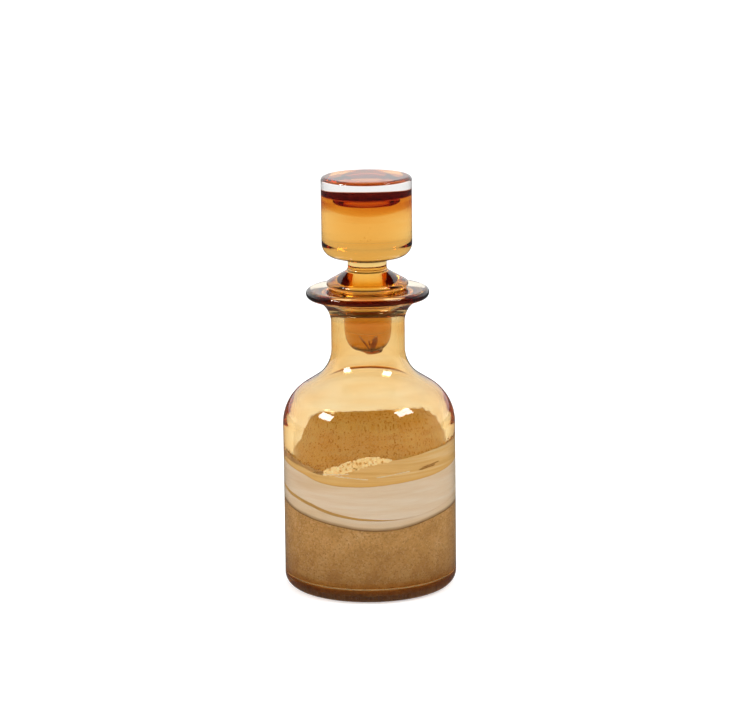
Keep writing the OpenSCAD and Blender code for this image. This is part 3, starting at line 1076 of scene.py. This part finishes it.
@dataclass
class Stopper(SubAssembly):
    """The stopper. Sizes are in millimetres, and are the solids' own."""

    body = Body.STOPPER
    seat_z: float
    knob_r: float = 26.0
    knob_h: float = 46.5
    knob_low_r: float = 8.0
    knob_top_r: float = 2.4
    stem_r: float = 11.2
    stem_top_r: float = 3.0
    stem_low_r: float = 3.0
    stem_h: float = 18.3
    collar_r: float = 21.2
    collar_t: float = 4.6
    collar_slope: float = 30.0
    cone_step: float = 0.5
    plug_r: float = 13.5
    plug_len: float = 35.7
    plug_round: float = 12.5
    plug_flat: float = 6.0
    plug_top_r: float = 3.0
    clear_top: float = 10.4
    side_skin: float = 2.2
    core_edge: float = 3.5
    dark_skin: float = 0.9
    dark_gap: float = 0.05
    dark_rim: float = 2.0
    dark_drop: float = 9.0
    skirt: float = 13.0
    skirt_out: float = 0.16
    skirt_bulge: float = 0.9
    fold_r: float = 10.8
    fold_size: Point = (1.9, 1.5)
    fold_lean: float = 0.7
    fold_down: float = 1.2
    deep_inset: float = 1.1
    deep_h: float = 27.0
    scar_r: float = 5.6
    skin: float = 0.05

    def __post_init__(self) -> None:
        """Works out the heights that follow from the sizes."""
        self.knob_z = self.seat_z + self.stem_h
        self.top_z = self.knob_z + self.knob_h
        self.core_r = self.knob_r - self.side_skin
        self.core_z = self.knob_z + self.side_skin
        self.core_top = self.top_z - self.clear_top
        self.plug_z = self.seat_z - self.plug_len
        self.bowl_top = self.core_top - self.dark_skin - self.dark_gap
        self.bowl_rim = self.bowl_top - self.dark_rim

    def stem_top(self, inset: float) -> Outline:
        """Gives the turn from the stem out under the knob."""
        return arc((self.stem_r + self.stem_top_r, self.knob_z - self.stem_top_r), self.stem_top_r + inset,
                   180, 90, 10)

    def shank(self, inset: float) -> Outline:
        """Draws the plug, collar and stem.

        Args:
            inset: how far the outline is set in.

        Returns:
            The outline from the plug's end up to the stem's side.
        """
        lean = math.radians(self.collar_slope)
        cone_r = self.collar_r + self.cone_step
        cone_z = self.seat_z + self.collar_t
        end_r = self.stem_r + self.stem_low_r * (1 - math.sin(lean))
        end_z = cone_z + (cone_r - end_r) * math.tan(lean)
        stem_z = end_z + self.stem_low_r * math.cos(lean)
        return [
            (0.0, self.plug_z + inset),
            *arc((self.plug_flat, self.plug_z + inset + self.plug_round),
                 (self.plug_r - self.plug_flat - inset, self.plug_round), -90, 0),
            *arc((self.plug_r + self.plug_top_r, self.seat_z - self.plug_top_r), self.plug_top_r + inset,
                 180, 90, 10),
            *arc((self.collar_r, self.seat_z + self.collar_t / 2), self.collar_t / 2 - inset, -90, 78, 20),
            (cone_r - inset * 0.6, cone_z - inset),
            *arc((self.stem_r + self.stem_low_r, stem_z), self.stem_low_r + inset,
                 270 - self.collar_slope, 180, 10)]

    def bowl(self, grow: float) -> Outline:
        """Draws the deep amber bowl's underside.

        Args:
            grow: how much lower the outline is.

        Returns:
            The outline from its rim to its lowest point.
        """
        dome = (self.core_r**2 + self.dark_drop**2) / (2 * self.dark_drop)
        rings = [self.core_r * (1 - i / 14) for i in range(15)]
        return [(x, self.bowl_rim - self.dark_drop + dome - math.sqrt(dome**2 - x**2) - grow) for x in rings]

    def rim(self, grow: float, high: float) -> Outline:
        """Draws the core's round upper edge.

        Args:
            grow: how much its radius grows.
            high: the height that it ends at.

        Returns:
            The outline from the bowl's rim up.
        """
        edge = self.core_edge
        centre = (self.core_r - edge, self.core_top - edge)
        angles = [math.degrees(math.asin(min(1.0, max(0.0, (z - centre[1]) / (edge + grow)))))
                  for z in (self.bowl_rim, high)]
        return arc(centre, edge + grow, *angles, 8)

    def dark(self) -> Mesh:
        """Builds the thin dark disc, with the skirt that its edge leaves down the core's side.

        Returns:
            The disc.
        """
        skin, side = self.skin, self.core_edge
        obj = lathe("dark_disc", finely([
            (0.0, self.core_top - self.dark_skin + skin), *reversed(self.rim(skin, self.bowl_top + skin)),
            (self.core_r + skin, self.bowl_rim), (self.core_r + 2 * skin, self.core_top - self.skirt),
            *arc((self.core_r - side, self.core_top - side), side + self.skirt_out, 0, 84, 10),
            (0.0, self.core_top)]))
        points = points_of(obj)
        radius = np.hypot(points[:, 0], points[:, 1])
        sideways = np.abs(np.sin(np.radians(angles_of(points)))) ** 4
        below = np.clip((self.core_top - points[:, 2]) / side, 0, 1)
        more = np.where(radius > self.core_r + 1.5 * skin, self.skirt_bulge * sideways * below, 0.0)
        points[:, :2] *= (1 + more / np.maximum(radius, 1.0))[:, None]
        set_points(obj, points)
        return obj

    def fold(self) -> Mesh:
        """Builds the fold that the dark gather left under itself: a thin ring with a turned edge.

        Returns:
            The ring.
        """
        wide, tall = self.fold_size
        high = self.bowl_rim - self.fold_down
        oval = arc((self.fold_r, high), (wide, tall), 0, 360, 18)[:-1]
        return lathe("glass_fold", [(x + self.fold_lean * (z - high) / tall, z) for x, z in oval], ring=True)

    def plug_painted_shade(self) -> Mesh:
        """Builds the deeper tint in the plug's lower part: painted shade, which darkens the plug below its
        top.

        Returns:
            The closed mesh of that tint.
        """
        corner = 3.0
        low = [p for p in self.shank(self.deep_inset) if p[1] < self.plug_z + self.plug_round + 0.1]
        top = self.plug_z + self.deep_h
        edge = arc((self.plug_r - self.deep_inset - corner, top - corner), corner, 0, 90, 8)
        return lathe("plug_painted_shade", finely([*low, *edge, (0.0, top)]))

    def cracks(self) -> Mesh:
        """Builds the three thin cracks above the broken scar, which lean towards each other.

        Returns:
            The cracks as one object.
        """
        made = []
        front, up, thick = -4.0, 6.0, 0.5
        for x, lean, long, wide in ((-1.4, -34.0, 9.5, 0.45), (2.6, 16.0, 7.5, 1.5), (0.6, -12.0, 4.0, 0.4)):
            shape = Matrix.Diagonal((wide, thick, long / 2, 1))
            turn = Matrix.Rotation(math.radians(lean), 4, "Y")
            made.append(ball(2, at_mm(x, front, self.plug_z + up) @ turn @ shape))
        return joined(made, "plug_cracks")

    def seeds(self) -> Mesh:
        """Builds a few fine seeds, bubbles of air that stayed in the knob.

        Returns:
            The seeds as one object.
        """
        made = []
        for x, y, up, size in ((-1.0, -8.0, 13.0, 0.45), (0.4, -6.0, 11.0, 0.3), (1.6, -9.0, 12.0, 0.35),
                               (0.2, -5.0, 15.5, 0.25), (-2.2, 4.0, 10.0, 0.3), (1.0, 7.0, 17.0, 0.25)):
            made.append(ball(2, at_mm(x, y, self.knob_z + up) @ Matrix.Diagonal((size, size, size, 1))))
        return joined(made, "knob_seeds")

    def scar(self) -> Mesh:
        """Builds the broken glass under the plug: a rough lump that stands off the axis.

        Returns:
            The lump.
        """
        lump_mm, flat, wide, aside, deepest = 2.6, 0.46, 1.15, 2.0, 2.6
        lump = ball(3, Matrix.Diagonal((self.scar_r, self.scar_r, self.scar_r, 1)))
        lump.name = lump.data.name = "broken_scar"
        points = points_of(lump)
        for i, point in enumerate(points):
            spot = Vector(point) / lump_mm
            points[i] *= 1 + 0.16 * noise.noise(spot + Vector((3.0, 0, 0))) + 0.06 * noise.noise(spot * 3)
        points[:, 0] = points[:, 0] * wide + aside
        points[:, 2] = np.clip(points[:, 2] * flat, -deepest, 0) + self.plug_z - self.skin
        set_points(lump, points)
        return lump

    def build(self) -> list[Mesh]:
        """Builds the stopper's glass and the colours inside it.

        Returns:
            The finished pieces.
        """
        skin = self.skin
        low, top = self.knob_low_r, self.knob_top_r
        knob_side = arc((self.knob_r - low, self.knob_z + low), low, -90, 0, 18)
        top_edge = arc((self.knob_r - top, self.top_z - top), top, 0, 90, 10)
        corner = low - self.side_skin
        core_side = arc((self.core_r - corner, self.core_z + corner), corner, -90, 0, 14)
        glass = lathe("stopper_glass", finely([
            *self.shank(0), *self.stem_top(0), *knob_side, *top_edge, (0.0, self.top_z)]))
        amber = lathe("knob_amber", finely([
            (0.0, self.core_z), *core_side, (self.core_r, self.bowl_rim - skin), *self.bowl(skin)[1:]]))
        bowl = lathe("amber_bowl", finely([
            *reversed(self.bowl(0)), *self.rim(0, self.bowl_top), (0.0, self.bowl_top)]))
        shank = lathe("shank_amber", finely([
            *self.shank(skin), *self.stem_top(skin), (self.stem_r + self.stem_top_r, self.core_z - skin),
            (0.0, self.core_z - skin)]))
        clear, deep = "stopper_glass", "deep_amber_glass"
        rows = (
            (glass, ClearGlass("stopper_glass_blown", ripple_mm=10.0), clear, "stopper_shank", "knob_casing"),
            (amber, TintedGlass("amber_glass_core_gathered", "#f5b34e", 50.0), clear, "knob_core"),
            (bowl, TintedGlass("deep_amber_glass_gathered", "#edb95a", 20.0), deep, "dark_gather"),
            (self.dark(), TintedGlass("dark_glass_disc_gathered", "#641803", 7.5), "dark_glass", "dark_skin"),
            (shank, TintedGlass("amber_glass_shank_drawn", "#edb44e", 40.0), clear),
            (self.fold(), TintedGlass("amber_glass_fold_trapped", "#d9963e", 4.0, ior=1.06), deep),
            # Painted shade: a deeper tint in the plug's lower part.
            (self.plug_painted_shade(), TintedGlass("amber_glass_plug_painted_shade", "#eac862", 20.0), clear),
            (self.cracks(), TintedGlass("amber_glass_cracks", "#5a2c08", 2.0, ior=1.12), clear),
            (self.seeds(), TintedGlass("air_seeds_in_glass", "#fefefd", 5.0, ior=0.9), clear),
            (self.scar(), TintedGlass("amber_glass_scar_broken", "#c98a30", 6.0, ior=1.5), clear,
             "pontil_scar"))
        return [self.dress(smooth(obj), *row) for obj, *row in rows]


# Stage, light and camera


@dataclass
class Studio:
    """The plain floor, the soft light and the camera. Sizes are in metres, and angles in degrees.

    Each lamp is its angle round the object, its angle up, its width, its height and its power.
    """

    floor_r: float = 12.0
    sky_through: tuple[tuple[float, str], ...] = ((0.3, "#747474"), (0.6, "#f2f2f2"))
    sky_above: tuple[tuple[float, str], ...] = ((0.4, "#ffffff"), (0.6, "#484848"))
    sky_gloss: tuple[tuple[float, str], ...] = ((0.4, "#202020"), (0.75, "#ffffff"))
    left_lamp: tuple[float, ...] = (-69.0, 32.0, 0.50, 0.32, 11.0)
    right_lamp: tuple[float, ...] = (62.0, 44.0, 0.56, 0.32, 11.0)
    lamp_far: float = 1.5
    aim: tuple[float, float, float] = (0.0, 0.0, 0.12)
    camera_at: tuple[float, float, float] = (-0.0008, -1.754, 0.5174)
    camera_down: float = 12.45
    camera_roll: float = -0.7
    lens: float = 152.62
    sensor: float = 36.0

    def floor(self) -> None:
        """Builds the floor, a wide disc."""
        bpy.ops.object.select_all(action="DESELECT")
        bpy.ops.mesh.primitive_circle_add(vertices=96, radius=self.floor_r, fill_type="NGON")
        disc = bpy.context.active_object
        disc.name = disc.data.name = "studio_floor"
        disc.data.materials.append(StageWhite("matt_white_floor").build())

    def world(self) -> None:
        """Lights the scene evenly, and shows a white room with a dimmer ceiling to eye and glass."""
        world = bpy.data.worlds.new("studio_world")
        bpy.context.scene.world = world
        world.use_nodes = True
        tree = world.node_tree
        tree.nodes.clear()
        way = add(tree, "SeparateXYZ", {"Vector": add(tree, "TexCoord").outputs["Generated"]}).outputs
        behind = add(tree, "MapRange", {"Value": way["Y"], "From Min": -1.0})
        wall = add(tree, "ValToRGB", {"Fac": behind}, stops=self.sky_through)
        above = add(tree, "ValToRGB", {"Fac": way["Z"]}, stops=self.sky_above)
        through = add(tree, "Mix", {"Factor": 1.0, "A": wall, "B": above},
                      data_type="RGBA", blend_type="MULTIPLY")
        gloss = add(tree, "ValToRGB", {"Fac": behind}, stops=self.sky_gloss)
        some = add(tree, "Mix", {"Factor": eye_rays(tree), "A": "#ffffff", "B": through}, data_type="RGBA")
        shown = add(tree, "Mix", {"Factor": mirror_rays(tree), "A": some, "B": gloss}, data_type="RGBA")
        lit = add(tree, "Background", {"Color": shown, "Strength": 1.0})
        add(tree, "OutputWorld", {"Surface": lit})

    def lamp(self, name: str, row: tuple[float, ...]) -> None:
        """Adds one soft lamp.

        Args:
            name: its name.
            row: its angle round, angle up, width, height and power.
        """
        around, up, width, height, power = row
        a, e = math.radians(around), math.radians(up)
        away = Vector((math.sin(a) * math.cos(e), -math.cos(a) * math.cos(e), math.sin(e)))
        data = bpy.data.lights.new(name, "AREA")
        data.shape, data.size, data.size_y, data.energy = "RECTANGLE", width, height, power
        lamp = bpy.data.objects.new(name, data)
        bpy.context.scene.collection.objects.link(lamp)
        lamp.location = Vector(self.aim) + away * self.lamp_far
        lamp.rotation_euler = away.to_track_quat("Z", "Y").to_euler()

    def camera(self) -> None:
        """Adds the camera at the picture's viewing angle."""
        data = bpy.data.cameras.new("camera")
        data.lens, data.sensor_width = self.lens, self.sensor
        data.clip_start, data.clip_end = 0.05, 60.0
        camera = bpy.data.objects.new("camera", data)
        bpy.context.scene.collection.objects.link(camera)
        tilt = Matrix.Rotation(math.radians(90 - self.camera_down), 4, "X")
        roll = Matrix.Rotation(math.radians(self.camera_roll), 4, "Z")
        camera.matrix_world = Matrix.Translation(self.camera_at) @ tilt @ roll
        bpy.context.scene.camera = camera

    def build(self) -> None:
        """Sets the whole stage, and lets light go deep enough into glass in glass."""
        scene = bpy.context.scene
        scene.view_settings.view_transform = "Standard"
        cycles = scene.cycles
        cycles.max_bounces, cycles.transmission_bounces = 40, 36
        cycles.glossy_bounces, cycles.diffuse_bounces, cycles.transparent_max_bounces = 12, 6, 16
        cycles.caustics_reflective = cycles.caustics_refractive = True
        cycles.sample_clamp_indirect = 10.0
        cycles.use_denoising = True
        self.world()
        self.floor()
        self.lamp("left_lamp", self.left_lamp)
        self.lamp("right_lamp", self.right_lamp)
        self.camera()


def main() -> None:
    """Builds everything in order and reports each piece."""
    logging.basicConfig(level=logging.INFO, format="%(name)s: %(message)s")
    Studio().build()
    bottle = Bottle()
    stopper = Stopper(seat_z=bottle.lip_top + SEAT_GAP)
    pieces = [*bottle.build(), *WallColours(bottle).build(), *stopper.build()]
    log.info("%d pieces", len(pieces))


if __name__ == "__main__":
    main()
